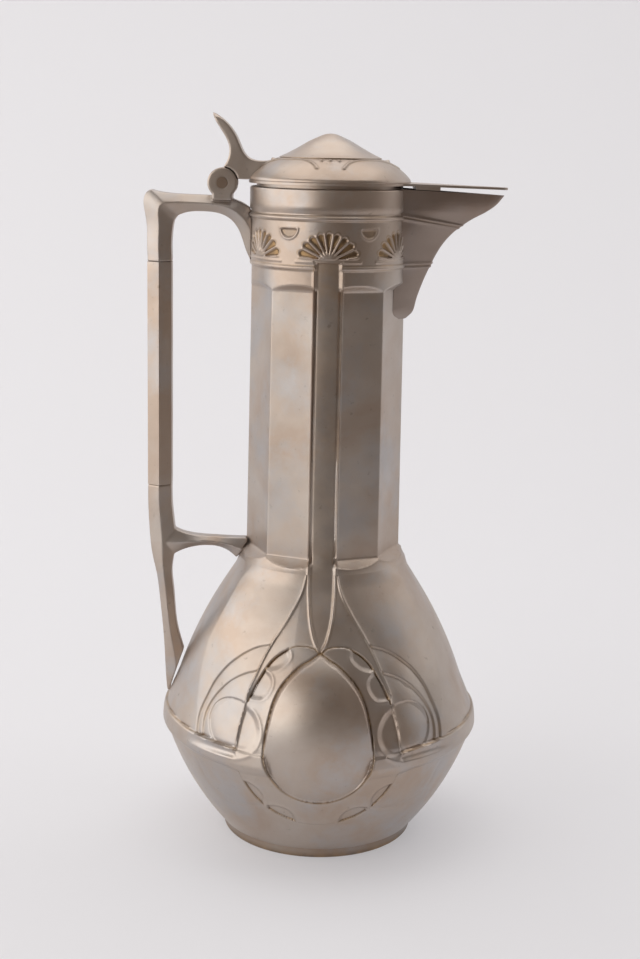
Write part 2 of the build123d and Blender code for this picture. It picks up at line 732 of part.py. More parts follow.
def make_lid_lever():
    """Thumb piece, arm and knuckle in one casting, seated on the lower tier of the dome."""
    face, back = THUMB_FACE, THUMB_BACK
    outline = [
        Spline([THUMB_TIP] + face),
        Line(face[-1], LEVER_FOOT),
        Line(LEVER_FOOT, (HINGE_X + EAR_RADIUS, LEVER_FOOT[1])),
        Line((HINGE_X + EAR_RADIUS, LEVER_FOOT[1]), back[-1]),
        Spline(list(reversed(back)) + [THUMB_TIP]),
    ]
    lever = extrude(region(outline), amount=HINGE_WIDTH / 2, both=True)
    height = THUMB_TIP[1] - HINGE_HEIGHT
    blade = Pos(0, HINGE_HEIGHT) * RectangleRounded(HINGE_WIDTH, 2 * height, THUMB_END_ROUND)
    lever &= extrude(Plane.YZ * blade.face(), amount=FAR, both=True)
    ears = hinge_cylinder(EAR_RADIUS + EAR_GAP, 2 * HINGE_WIDTH)
    ears -= hinge_cylinder(2 * EAR_RADIUS, KNUCKLE_WIDTH)
    lever = lever - ears + hinge_cylinder(KNUCKLE_RADIUS, KNUCKLE_WIDTH)
    lever -= hinge_cylinder(PIN_RADIUS + PIN_GAP, 2 * HINGE_WIDTH)
    plate_bottom = Pos(0, 0, LID_BOTTOM) * Cylinder(
        LID_RADIUS, PLATE_THICKNESS, align=(Align.CENTER, Align.CENTER, Align.MIN)
    )
    return lever - dome_form() - plate_bottom


PIECES = {
    "foot_ring": make_foot_ring,
    "base_plate": make_base_plate,
    "belly_front": make_belly_front,
    "belly_back": make_belly_back,
    "neck_shell": make_neck,
    "spout": make_spout,
    "handle_top_bracket": make_handle_top_bracket,
    "handle_grip": make_handle_grip,
    "handle_bottom_bracket": make_handle_bottom_bracket,
    "hinge_pin": make_hinge_pin,
    "lid_dome": make_lid_dome,
    "lid_plate": make_lid_plate,
    "lid_bezel": make_lid_bezel,
    "lid_rest": make_lid_rest,
    "lid_lever": make_lid_lever,
}

if __name__ == "__main__":
    os.makedirs("parts", exist_ok=True)
    for name, make in PIECES.items():
        export_step(make(), f"parts/{name}.step")
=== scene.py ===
import bpy
from math import atan2, cos, pi, radians
import numpy as np
from mathutils import Matrix, Vector


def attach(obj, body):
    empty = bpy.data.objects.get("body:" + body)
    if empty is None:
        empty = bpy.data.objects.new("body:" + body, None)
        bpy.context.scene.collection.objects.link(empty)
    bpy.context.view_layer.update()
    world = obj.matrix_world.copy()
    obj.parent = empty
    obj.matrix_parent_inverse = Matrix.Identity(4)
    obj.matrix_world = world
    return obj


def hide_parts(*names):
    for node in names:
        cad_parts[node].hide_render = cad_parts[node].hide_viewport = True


# Pewter wine pitcher. The relief is worked out in millimetres and turned into metres at the end.
MM = 0.001

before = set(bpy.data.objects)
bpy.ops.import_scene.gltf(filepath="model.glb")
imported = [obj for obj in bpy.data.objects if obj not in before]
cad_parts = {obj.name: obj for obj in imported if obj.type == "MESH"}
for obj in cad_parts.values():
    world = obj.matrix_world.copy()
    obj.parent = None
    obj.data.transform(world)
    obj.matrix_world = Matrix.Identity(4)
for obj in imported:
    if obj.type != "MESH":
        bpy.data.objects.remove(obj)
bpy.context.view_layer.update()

# Camera of the photograph
CAMERA_PLACE = (-0.001889, -0.77588, 0.35114)
CAMERA_PITCH = radians(12.262)
CAMERA_ROLL = radians(1.178)
CAMERA_LENS = 59.13
SENSOR = 36.0

# Light of the dim room before the pitcher, and the pale cloth as the camera sees it
ROOM_COLOUR = (0.21, 0.185, 0.17)
CLOTH_SEEN = (0.84, 0.825, 0.85)
GLOW_SHARE = 0.4

# Colours of old pewter, its dull spots and its golden patina
PEWTER_GREY, PEWTER_WARM, PEWTER_COOL = (0.50, 0.44, 0.39), (0.45, 0.36, 0.295), (0.45, 0.42, 0.405)
SPOT_COLOUR, GOLD_LIGHT, GOLD_DARK = (0.20, 0.17, 0.14), (0.33, 0.205, 0.09), (0.12, 0.08, 0.045)
PEWTER_ROUGHNESS = 0.40

# Belly, in millimetres
WALL = 1.9
BASE_RADIUS, FOOT_HEIGHT = 50.2, 5.6
BOWL_TOP, BOWL_TOP_RADIUS, BOWL_BULGE = 58.0, 79.0, 3.0
SHOULDER_FOOT, SHOULDER_FOOT_RADIUS = 67.0, 78.3
SHOULDER_HEAD, SHOULDER_HEAD_RADIUS, SHOULDER_BULGE = 130.0, 51.0, 2.8
SEAM_HEIGHT, SEAM_RADIUS = 144.1, 42.0
EGG_BALL_RADIUS, EGG_BALL_HEIGHT, EGG_PROUD = 54.0, 70.0, 81.3

# Neck, in millimetres
FLARE_TOP, NECK_FOOT_RADIUS = 156.0, 38.5
NECK_HEAD_RADIUS, FLAT_COUNT = 37.5, 8
FRIEZE_RADIUS, RIM_RADIUS, RIM_TOP = 37.9, 38.6, 327.6
LOWER_BEAD, UPPER_BEAD, BEAD_RADIUS = 291.2, 314.1, 1.15
COLUMN_EDGE, RIM_EDGE_POINTS = 6.7, 5

# Relief that neck and belly share, and the depth of the belly's scoop and of the egg's groove, in millimetres
RIB_HEIGHT, COLUMN_DEPTH = 0.6, 0.75
SCOOP_DEPTH, GROOVE_DEPTH = 1.1, 0.6

# Spout, in millimetres
SPOUT_WALL, SPOUT_NOSE = 1.8, 2.6
MOUTH_SLOPE, MOUTH_ROOT, BEAD_FALL = 0.048, 36.0, 0.1763
SIDE_POINTS, NOSE_POINTS = 12, 11

# Keel of the spout: reach from the axis, height, and the angle in degrees of each side to the middle plane
SPOUT_KEEL = [
    (38.6, 264.8, 52.0), (42.1, 268.5, 50.0), (44.1, 276.0, 45.0), (48.4, 287.5, 36.6), (54.4, 299.5, 31.5),
    (60.9, 307.3, 27.2), (68.6, 313.0, 22.4), (76.2, 317.2, 19.2), (81.4, 321.1, 17.5), (86.4, 327.6, 16.5),
]

# Lid, in millimetres
DOME_RADIUS, DOME_BASE, TIER_BULGE = 38.8, 330.3, 1.3
TIER_MIDDLE_RADIUS = 30.0

# Castings with worn edges: size of the remesh in metres, and rounds of smoothing
CAST_VOXEL, CAST_SMOOTHING = 0.00042, 7


def deselect():
    if bpy.context.object and bpy.context.object.mode != "OBJECT":
        bpy.ops.object.mode_set(mode="OBJECT")
    bpy.ops.object.select_all(action="DESELECT")


def named(name):
    """The object just added, under its own name."""
    piece = bpy.context.active_object
    piece.name = name
    piece.data.name = name
    return piece


def points_of(piece):
    count = len(piece.data.vertices)
    flat = np.empty(count * 3)
    piece.data.vertices.foreach_get("co", flat)
    return flat.reshape(count, 3)


def place_points(piece, points):
    piece.data.vertices.foreach_set("co", np.ascontiguousarray(points, dtype=float).ravel())
    piece.data.update()


def smooth_step(value, low, high):
    t = np.clip((value - low) / (high - low), 0.0, 1.0)
    return t * t * (3.0 - 2.0 * t)


def ridge(distance, width):
    """A soft ridge that is 1 on its line and fades with the distance from it."""
    return np.exp(-(distance / width) ** 2)


def spline(points, share=6):
    """A smooth line through a few points, as many short runs."""
    p = np.array(points, dtype=float)
    p = np.vstack([2 * p[0] - p[1], p, 2 * p[-1] - p[-2]])
    t = np.linspace(0, 1, share, endpoint=False)[:, None]
    runs = []
    for a, b, c, d in zip(p, p[1:], p[2:], p[3:]):
        runs.append(0.5 * (2 * b + (c - a) * t + (2 * a - 5 * b + 4 * c - d) * t**2 + (3 * b - a - 3 * c + d) * t**3))
    return np.vstack(runs + [p[-2]])


def arc(centre, radius, start, end, count=40):
    """Points on a circle between two angles in degrees, measured from +X."""
    angles = np.radians(np.linspace(start, end, count))
    return np.stack([centre[0] + radius * np.cos(angles), centre[1] + radius * np.sin(angles)], 1)


def distance_to(x, z, line):
    """How far each point is from a line of short runs."""
    best = np.full(x.shape, 1e9)
    for (ax, az), (bx, bz) in zip(line, line[1:]):
        dx, dz = bx - ax, bz - az
        size = max(dx * dx + dz * dz, 1e-12)
        t = np.clip(((x - ax) * dx + (z - az) * dz) / size, 0.0, 1.0)
        best = np.minimum(best, (x - ax - t * dx) ** 2 + (z - az - t * dz) ** 2)
    return np.sqrt(best)


def signed(x, z, line):
    """Distance to a closed line, below zero inside it."""
    ring = np.vstack([line, line[:1]])
    within = np.zeros(x.shape, dtype=bool)
    for (ax, az), (bx, bz) in zip(ring, ring[1:]):
        if az == bz:
            continue
        crosses = (az > z) != (bz > z)
        within ^= crosses & (x < (bx - ax) * (z - az) / (bz - az) + ax)
    reach = distance_to(x, z, ring)
    return np.where(within, -reach, reach)


def arc_between(start, end, bulge, count):
    """Points on an arc from start to end that stands out to the right of its chord."""
    start, end = np.array(start, float), np.array(end, float)
    chord = end - start
    length = np.hypot(*chord)
    side = np.array([chord[1], -chord[0]]) / length
    radius = (length**2 / 4 + bulge**2) / (2 * abs(bulge))
    centre = (start + end) / 2 + side * (bulge - np.sign(bulge) * radius)
    first = atan2(*(start - centre)[::-1])
    last = atan2(*(end - centre)[::-1])
    turn = (last - first + pi) % (2 * pi) - pi
    angles = first + np.linspace(0, turn, count)
    return np.stack([centre[0] + radius * np.cos(angles), centre[1] + radius * np.sin(angles)], 1)


def rows_along(line, count):
    """The same line, walked in equal steps."""
    steps = np.hypot(*np.diff(line, axis=0).T)
    walked = np.concatenate([[0], np.cumsum(steps)])
    at = np.linspace(0, walked[-1], count)
    return np.stack([np.interp(at, walked, line[:, 0]), np.interp(at, walked, line[:, 1])], 1)


def tube(name, columns, rows):
    """A fine flat grid, to be bent round the axis: columns go round, rows follow the outline."""
    deselect()
    bpy.ops.mesh.primitive_grid_add(x_subdivisions=columns, y_subdivisions=rows - 1, size=1)
    return named(name)


def close_shell(piece, sharp=60):
    """Joins the seams of a bent grid, closes what stays open and shades it."""
    deselect()
    bpy.context.view_layer.objects.active = piece
    piece.select_set(True)
    bpy.ops.object.mode_set(mode="EDIT")
    bpy.ops.mesh.select_mode(type="VERT")
    bpy.ops.mesh.select_all(action="SELECT")
    bpy.ops.mesh.remove_doubles(threshold=1e-6)
    bpy.ops.mesh.select_all(action="DESELECT")
    bpy.ops.mesh.select_non_manifold()
    bpy.ops.mesh.fill_holes(sides=0)
    bpy.ops.mesh.select_all(action="SELECT")
    bpy.ops.mesh.normals_make_consistent(inside=False)
    bpy.ops.object.mode_set(mode="OBJECT")
    bpy.ops.object.shade_smooth_by_angle(angle=radians(sharp))
    piece.select_set(False)


def rows_and_shares(piece, rows):
    """Row number of each point of a fresh grid, and how far along the row it lies, from 0 to 1."""
    points = points_of(piece)
    return np.rint((points[:, 1] + 0.5) * (rows - 1)).astype(int), points[:, 0] + 0.5


def normals_along(line):
    """Unit normals of a line that runs up, pointing away from the axis."""
    along = np.gradient(line, axis=0)
    along /= np.hypot(*along.T)[:, None]
    return np.stack([along[:, 1], -along[:, 0]], 1)


# Ornament of the belly in the front view: x to the right of the axis, z up, millimetres
EGG = np.vstack([arc((0, 66), 25.7, 180, 360), spline([
    (25.7, 66), (25.1, 73.9), (23.7, 81.4), (21.5, 89), (17.4, 96.7), (9.8, 104.6), (4.6, 107.9), (0, 111)])])
EGG = np.vstack([EGG[EGG[:, 0] >= 0], (EGG[EGG[:, 0] > 0] * (-1, 1))[::-1]])
RING_RIGHT = spline([
    (0, 25.2), (10.3, 26.6), (20, 30.7), (28.2, 37.2), (34.4, 45.5), (38.2, 55), (39.5, 65), (38.4, 75.5), (34.9, 86),
    (32.2, 92.5), (29.2, 98), (24.9, 104.6), (20.6, 109), (15.4, 112.3), (12, 113.7), (7.3, 114), (3.1, 113.1),
    (0, 111)])
RING = np.vstack([RING_RIGHT, (RING_RIGHT[1:-1] * (-1, 1))[::-1]])
OUTER_RIB = spline([
    (6.7, 147.6), (9.2, 137), (14.7, 127), (20.5, 118.3), (24.4, 112.2), (27.9, 105.7), (30.9, 99.1), (33.8, 92.9),
    (35.2, 87.8), (36.7, 81.7), (38.1, 75.6), (39, 69.7), (39.6, 64.0)])
INNER_RIB = spline([(6.4, 147.6), (6.3, 136.5), (5.3, 125), (3, 116), (0.2, 111)])
STEM = np.vstack([INNER_RIB, (INNER_RIB * (-1, 1))[::-1]])
OUTER_LEAF = spline([
    (23.9, 113.6), (30.2, 111.7), (35.5, 108.9), (40.7, 105), (46, 99.9), (51.3, 92.6), (55, 85.1), (58.2, 77.2),
    (59.6, 70.6), (59.9, 64)])
INNER_LEAF = spline([
    (30.3, 101.6), (37.3, 98.8), (43.6, 94.5), (49, 89.1), (53.3, 83), (55.9, 77.2), (57.1, 71.6), (57.3, 64)])
BOWL_LEAF = spline([(60, 52), (58.1, 48.2), (54.4, 39.7), (48, 34.6), (36.5, 32.2), (25.9, 34.4)])
BAND_UPPER = [(36, 64.0), (42, 64.9), (50, 65.2), (60, 65.9), (70, 66.6), (82, 67.6)]
BAND_LOWER = [(82, 56.5), (70, 56), (57, 55), (44.6, 54.4), (37.1, 52.2), (29.9, 50), (24, 44)]
BAND_MIDDLE, BAND_HALF = 61.0, 7.5
CHANNEL_FOOT = 60.6
DISC_CENTRE, DISC_RADIUS = (41.2, 74.0), 13.2

# Each leaf arc with the depth of the step below it
LEAF_STEPS = ((OUTER_LEAF, 0.95), (INNER_LEAF, 0.9))

# Each scallop in the ring: its inner edge, and a point outside the ring that closes it
CELLS = [
    (spline([(14.4, 112.6), (13.6, 109.2), (15.3, 106.3), (19.4, 103.1), (25.2, 101.4)]), (27.0, 116.0)),
    (spline([(25.9, 103.2), (22.5, 99.4), (22.3, 95.7), (24.3, 91.6), (27.8, 88.6), (33.4, 88.2)]), (38.0, 99.0)),
    (spline([(36.6, 49.6), (33.2, 49.2), (28.2, 46.4), (25.1, 41.6), (24.5, 35.2)]), (37.5, 35.0)),
    (spline([(24.1, 36.6), (19.6, 37.3), (14, 35.7), (10.6, 31.9), (9.0, 27.0)]), (20.5, 22.0)),
]

# Ridges of the shoulder: their turn from the front in degrees, at each height
RIDGE_HEIGHTS = [55, 67.6, 94.3, 107.5, 122, 137.9, 151]
RIDGE_TURNS = [49, 49.7, 57.4, 60, 59.4, 59.5, 46.9]

# Low arch and dots of the lid: along the tier from the middle of a quarter, and up the tier
LID_ARCH = spline([(5.6, 8.6), (7.0, 11.0), (9.6, 13.6), (13.6, 15.6), (18.2, 16.4), (23.6, 16.6)])
LID_DOTS = ((0.0, 15.0), (4.4, 14.8))


def stepped(distance, reach):
    """Below an edge: a crisp step down whose floor comes up again with the distance from the edge."""
    return smooth_step(distance, -0.2, 0.4) * (0.12 + 0.88 * np.exp(-np.maximum(distance, 0) / reach))


class BellyPlaces:
    """Where the points of the belly lie in its ornament, which is alike on the right and on the left."""

    def __init__(self, x, z):
        self.x, self.z = np.abs(x), z
        self.from_egg = signed(self.x, z, EGG)
        self.from_ring = signed(self.x, z, RING)
        self.on_ring = smooth_step(-self.from_ring, -0.25, 0.45)
        self.upper_edge = np.interp(self.x, *np.array(BAND_UPPER).T)
        lower_edge = np.interp(self.x, *np.array(BAND_LOWER[::-1]).T)
        near_band = np.maximum(z - self.upper_edge, lower_edge - z)
        self.on_band = np.where(z > 60, smooth_step(-near_band, -0.3, 0.3), smooth_step(-near_band, -0.6, 3.0))
        self.over_band = smooth_step(z - self.upper_edge, -0.2, 0.4)
        rib_x = np.interp(z, OUTER_RIB[::-1, 1], OUTER_RIB[::-1, 0])
        self.past_rib = smooth_step(self.x - rib_x, -0.1, 0.5)
        self.into_disc = DISC_RADIUS - np.hypot(self.x - DISC_CENTRE[0], z - DISC_CENTRE[1])


def add_leaf_fields(at, height, patina):
    """Fields beside the outer rib, each a step lower than the one above it."""
    for line, depth in LEAF_STEPS:
        arc_x = np.interp(at.z, line[::-1, 1], line[::-1, 0])
        gap = distance_to(at.x, at.z, line)
        gap = np.where((at.x < arc_x) & (at.z < line[0, 1] + 0.5), gap, -gap)
        height -= depth * stepped(gap, 5.0) * at.past_rib * at.over_band
        patina += 0.45 * ridge(gap - 0.2, 0.4) * at.past_rib * at.over_band


def add_disc(at, height, patina):
    """The round step on the outer side of the rib."""
    height -= 0.75 * stepped(at.into_disc, 6.0) * at.past_rib * at.over_band * smooth_step(58 - at.x, 0, 3)
    patina += 0.35 * ridge(at.into_disc - 0.2, 0.4) * at.past_rib * at.over_band * (at.z > 74)


def add_ring(at, height, patina):
    """The broad ring and the band, raised over the bowl and level with the shoulder, and the ring's outline."""
    height += np.maximum(at.on_ring, at.on_band) * (0.1 + 0.8 * smooth_step(76 - at.z, 0, 14))
    outline = ridge(at.from_ring, 0.38) * ((at.z < 54) | (at.z > 87))
    height -= np.where(at.z > 80, 0.45, 0.38) * outline
    patina += 0.85 * outline


def add_cells(at, height, patina):
    """Scallops cut into the edge of the ring, and the faint leaf on the bowl beside it."""
    for line, far_point in CELLS:
        inner = distance_to(at.x, at.z, line)
        within = (signed(at.x, at.z, np.vstack([line, [far_point]])) < 0) & (at.from_ring < 0.15)
        scoop = np.where(within, smooth_step(inner, 0.0, 2.6), 0.0)
        height -= np.where(at.z < 60, 1.25, 0.95) * scoop
        height += 0.22 * ridge(inner, 0.7) * at.on_ring
        patina += 0.3 * scoop * ridge(at.from_ring, 1.2)
    leaf_gap = distance_to(at.x, at.z, BOWL_LEAF)
    height -= 0.22 * ridge(leaf_gap, 0.9) * (1 - np.maximum(at.on_ring, at.on_band))


def add_band(at, height, patina):
    """The band round the widest part, the channel along it and the round scoop on the ring."""
    x, z = at.x, at.z
    across_channel = np.clip((at.upper_edge - z) / (at.upper_edge - CHANNEL_FOOT), 0, 1)
    channel = np.sin(pi * across_channel) ** 0.7 * smooth_step(x, 37.5, 40) * smooth_step(68 - x, 0, 20)
    ring_scoop = smooth_step(at.into_disc, -0.3, 3.2) * (1 - at.past_rib)
    lip = ridge(at.into_disc + 0.6, 0.8) * (1 - at.past_rib) * (z < 84) * (x < 42)
    lip = np.maximum(lip, ridge(z - 60.2, 0.8) * smooth_step(x, 39, 42) * smooth_step(66 - x, 0, 22))
    round_band = np.clip(1 - ((z - BAND_MIDDLE) / BAND_HALF) ** 4, 0, 1)
    height += 0.8 * round_band * at.on_band
    height -= SCOOP_DEPTH * np.maximum(ring_scoop, channel) * np.where(z < 66, 1.0, at.on_ring)
    height += 0.3 * lip
    edge_line = ridge(z - at.upper_edge, 0.4) * smooth_step(x, 38, 40)
    height -= 0.35 * edge_line
    patina += 0.75 * edge_line


def add_ribs(at, height, patina):
    """The thin ribs that come down from the neck, and the hollow stem between the inner ones."""
    stem = smooth_step(-signed(at.x, at.z, STEM), -0.2, 1.6)
    height -= COLUMN_DEPTH * stem
    patina += 0.25 * stem * smooth_step(at.z, 128, SEAM_HEIGHT)
    outer_rib = distance_to(at.x, at.z, OUTER_RIB)
    height += RIB_HEIGHT * ridge(outer_rib, 0.45) + 0.12 * ridge(outer_rib, 1.6)
    patina += 0.3 * ridge(outer_rib - 0.8, 0.35)
    inner_rib = distance_to(at.x, at.z, INNER_RIB)
    height += RIB_HEIGHT * ridge(inner_rib, 0.5)
    patina += 0.35 * ridge(inner_rib - 0.8, 0.35)


def add_facets(z, turn, height):
    """Soft facets of the shoulder between ridges that run down from the corners of the neck."""
    facing = 90 - np.degrees(np.arcsin(np.clip(np.abs(np.sin(turn)), 0, 1)))
    corner = np.interp(z, RIDGE_HEIGHTS, RIDGE_TURNS)
    fade = smooth_step(z, 66, 84) * (1 - smooth_step(z, 138, 146))
    sides = 1 - ((90 - facing) / (90 - corner)) ** 2
    fronts = 1 - ((facing - corner * 0.6) / (corner * 0.4)) ** 2
    height -= 1.5 * fade * np.where(facing > corner, sides, 0.0)
    height -= 0.9 * fade * np.where((facing <= corner) & (facing > corner * 0.2), np.clip(fronts, 0, 1), 0.0)


def add_egg_groove(at, height, patina):
    """The fine dark groove round the egg."""
    groove = ridge(at.from_egg - 0.35, 0.36)
    height -= GROOVE_DEPTH * groove
    patina += groove


def belly_relief(x, z, turn):
    """Relief of the belly over its smooth wall, the patina on it, and the distance from the egg's outline."""
    at = BellyPlaces(x, z)
    height, patina = np.zeros(x.shape), np.zeros(x.shape)
    for add in (add_leaf_fields, add_disc, add_ring, add_cells, add_band, add_ribs):
        add(at, height, patina)
    add_facets(z, turn, height)
    add_egg_groove(at, height, patina)
    return height, np.clip(patina, 0, 1), at.from_egg


def along(line, spans):
    """The same line with its points spread anew: a count of points up to each height."""
    walked = np.concatenate([[0], np.cumsum(np.hypot(*np.diff(line, axis=0).T))])
    start, at = walked[0], []
    for height, count in spans:
        end = np.interp(height, line[:, 1], walked)
        at.append(np.linspace(start, end, count, endpoint=False))
        start = end
    at = np.append(np.concatenate(at), start)
    return np.stack([np.interp(at, walked, line[:, 0]), np.interp(at, walked, line[:, 1])], 1)


def belly_outline():
    """Smooth outside of the belly from the foot to the seam, with most of its points on the ornament."""
    outer = np.vstack([
        arc_between((BASE_RADIUS, FOOT_HEIGHT), (BOWL_TOP_RADIUS, BOWL_TOP), BOWL_BULGE, 60),
        arc_between((SHOULDER_FOOT_RADIUS, SHOULDER_FOOT), (SHOULDER_HEAD_RADIUS, SHOULDER_HEAD), SHOULDER_BULGE, 60),
        [(SEAM_RADIUS, SEAM_HEIGHT)],
    ])
    return along(outer, [(22, 14), (117, 176), (SEAM_HEIGHT, 24)])


def brought_to_egg(x, y, z, share):
    """Depth of each point, brought by its share to the egg boss, which is a slice of a ball."""
    ball = EGG_BALL_RADIUS**2 - x**2 - (z - EGG_BALL_HEIGHT) ** 2
    front = EGG_BALL_RADIUS - EGG_PROUD - np.sqrt(np.maximum(ball, 1.0))
    return y * (1 - share) + front * share


def in_column(x):
    """1 within the front column and its ribs, fading to 0 beside them."""
    return 1 - smooth_step(np.abs(x), 7.6, 9.0)


def build_belly_half():
    columns, inner_rows = 430, 8
    outer = belly_outline()
    out = normals_along(outer)
    inner = rows_along(outer - out * WALL, inner_rows + 1)[::-1]
    line = np.vstack([outer, inner, outer[:1]])
    out = np.vstack([out, np.zeros((inner_rows + 2, 2))])
    rows = len(line)
    piece = tube("belly_front_relief", columns, rows)
    row, share = rows_and_shares(piece, rows)

    # more columns on the ornament, fewer at the sides
    turn = np.radians(np.interp(share, (0, 0.09, 0.91, 1), (-180, -143, -37, 0)))
    radius, z = line[row, 0], line[row, 1]
    outside = row < len(outer)
    level = smooth_step(z, SEAM_HEIGHT - 5, SEAM_HEIGHT)[:, None]
    push = out[row] * (1 - level) + np.array([1.0, 0.0]) * level
    x = radius * np.cos(turn)
    height, patina, from_egg = belly_relief(x, z, turn)
    hold = smooth_step(z, FOOT_HEIGHT, FOOT_HEIGHT + 4) * (1 - smooth_step(z, SEAM_HEIGHT - 1.5, SEAM_HEIGHT))
    hold = np.where(z > SEAM_HEIGHT - 3, np.maximum(hold, in_column(x)), hold)
    height = np.where(outside, height * hold, 0.0)
    radius = radius + height * push[:, 0]
    z = z + height * push[:, 1]
    x, y = radius * np.cos(turn), radius * np.sin(turn)
    y = brought_to_egg(x, y, z, smooth_step(-from_egg, -0.1, 0.8) * outside)
    place_points(piece, np.stack([x, y, z], 1) * MM)
    keep_patina(piece, np.where(outside, patina, 0.0))
    close_shell(piece)
    return piece


def mirrored_to_back(piece, name):
    """A copy of a piece with its own mesh, turned over to the back of the pitcher."""
    deselect()
    bpy.context.view_layer.objects.active = piece
    piece.select_set(True)
    bpy.ops.object.duplicate()
    back = named(name)
    place_points(back, points_of(back) * (1, -1, 1))
    bpy.ops.object.mode_set(mode="EDIT")
    bpy.ops.mesh.select_all(action="SELECT")
    bpy.ops.mesh.flip_normals()
    bpy.ops.object.mode_set(mode="OBJECT")
    deselect()
    return back


def keep_patina(piece, amount):
    """How much dark and golden patina lies at each point, read by the pewter material."""
    layer = piece.data.attributes.new("patina", "FLOAT", "POINT")
    layer.data.foreach_set("value", amount.astype(float))


def neck_profile():
    """Smooth outside of the neck from the seam to the rim, and its inside from the rim to the seam."""
    lower = arc_between((SEAM_RADIUS, SEAM_HEIGHT), (NECK_FOOT_RADIUS, FLARE_TOP), -0.9, 26)
    flats = np.stack([np.linspace(NECK_FOOT_RADIUS, NECK_HEAD_RADIUS, 50), np.linspace(FLARE_TOP, 278, 50)], 1)[1:]
    arches = np.stack([np.full(22, NECK_HEAD_RADIUS), np.linspace(278.6, 290.2, 22)], 1)
    frieze = np.stack([np.full(58, FRIEZE_RADIUS), np.linspace(290.6, 316.4, 58)], 1)
    rim = np.array([(RIM_RADIUS, 317.4), (RIM_RADIUS, 320), (RIM_RADIUS, 323.4), (RIM_RADIUS, RIM_TOP - 1.1)])
    edge = arc((RIM_RADIUS - 0.9, RIM_TOP - 0.9), 0.9, 0, 90, RIM_EDGE_POINTS)
    inside = np.array([
        (RIM_RADIUS - WALL + 0.7, RIM_TOP), (RIM_RADIUS - WALL, RIM_TOP - 0.6), (33.6, 316), (33.2, 290), (34.1, 240),
        (34.3, 200), (34.4, 160), (34.5, 150.5), (37.0, 147.3), (SEAM_RADIUS - WALL, SEAM_HEIGHT)])
    return np.vstack([lower, flats, arches, frieze, rim, edge]), inside


def neck_with_flats(turn, radius, z):
    """Distance from the axis of the round neck cut by its flats, which run out at both ends."""
    part = pi / FLAT_COUNT
    local = turn % (2 * part) - part
    base = np.minimum(radius, NECK_FOOT_RADIUS) * cos(part)
    foot, head, run_foot, run_head = 150.2, 279.8, 4.0, 4.6
    below = np.clip((foot - z) / run_foot, 0, 1)
    over = np.clip((z - head) / run_head, 0, 1)
    plane = base + 5.8 * below**1.3 + 5.0 * over**1.2
    plane = np.where((z < foot - run_foot) | (z > head + run_head), radius + 5, plane)
    hollow = 0.35 * (1 - (np.tan(local) / np.tan(part)) ** 2)
    flat = (plane - hollow) / np.cos(local)

    # the lower of flat and round wall, with a soft edge; the middle keeps the powers small
    soft, middle = 0.08, 40
    lower = -soft * np.log(np.exp(-(radius - middle) / soft) + np.exp(-(flat - middle) / soft)) + middle
    result = np.where(plane < radius + 4, lower, radius)
    lip = ridge(plane - hollow - radius * np.cos(local), 0.35) * smooth_step(z, 145, 146.5)
    lip = lip * (1 - smooth_step(z, foot - 0.5, foot + 0.8))
    return result + 0.3 * lip


def palmettes(fan_x, z, zone):
    """Petals of the fans, their outline, and the ribs between the petals, each from 0 to 1."""
    foot_z, half_width, fan_height, petals = 294.6, 15.6, 13.7, 9
    lean = np.arctan2(fan_x, z - foot_z)
    reach = np.hypot(fan_x / half_width, (z - foot_z) / fan_height)
    step = radians(168) / petals
    cell = np.abs(((lean + radians(84)) % step) - step / 2)
    distance_out = np.hypot(fan_x, z - foot_z)
    tip = 0.97 - 0.16 * (cell / (step / 2)) ** 2
    wide = step / 2 * distance_out - 0.42 - cell * distance_out
    petal = smooth_step(wide, 0.0, 0.5) * smooth_step(tip - reach, 0.0, 0.05) * smooth_step(distance_out, 3.6, 4.8)
    petal = petal * zone * (np.abs(lean) < radians(84)) * (z > foot_z + 0.6)
    outline = ridge((tip + 0.045 - reach) * 13, 0.45) * (np.abs(lean) < radians(88)) * zone * (z > foot_z)
    ribs = (1 - smooth_step(wide, -0.3, 0.3)) * (reach < 0.93) * (np.abs(lean) < radians(86)) * zone
    return petal, outline, ribs * (z > foot_z + 0.6)


def add_frieze(result, turn, z, on_column):
    """Palmettes at every sixth of a turn from the front, and drops between them; returns their patina."""
    sixth = np.radians(60)
    fan_x = ((turn + pi / 2 + sixth / 2) % sixth - sixth / 2) * FRIEZE_RADIUS
    drop_x = (((turn + pi / 2) % sixth) - sixth / 2) * FRIEZE_RADIUS
    zone = (z > 292.5) & (z < 313.2)
    petal, outline, ribs = palmettes(fan_x, z, zone)
    bar = smooth_step(16.4 - np.abs(fan_x), 0, 0.5) * ridge(z - 294.1, 0.55) * zone * ~on_column
    drop_reach = np.hypot(drop_x, z - 309.4)
    drop = smooth_step(4.5 - drop_reach, 0, 0.6) * smooth_step(309.3 - z, 0, 0.5) * zone
    curve = ridge(drop_reach - 4.9, 0.45) * (z < 309.9) * zone
    drop_rim = curve + ridge(z - 309.7, 0.4) * (np.abs(drop_x) < 4.9) * zone
    result -= 0.8 * petal
    result += 0.35 * np.maximum(ribs, bar) * (1 - petal)
    result += 0.35 * np.clip(drop_rim, 0, 1) * (1 - drop) - 0.65 * drop
    return 0.95 * petal + 0.5 * drop + 0.5 * outline


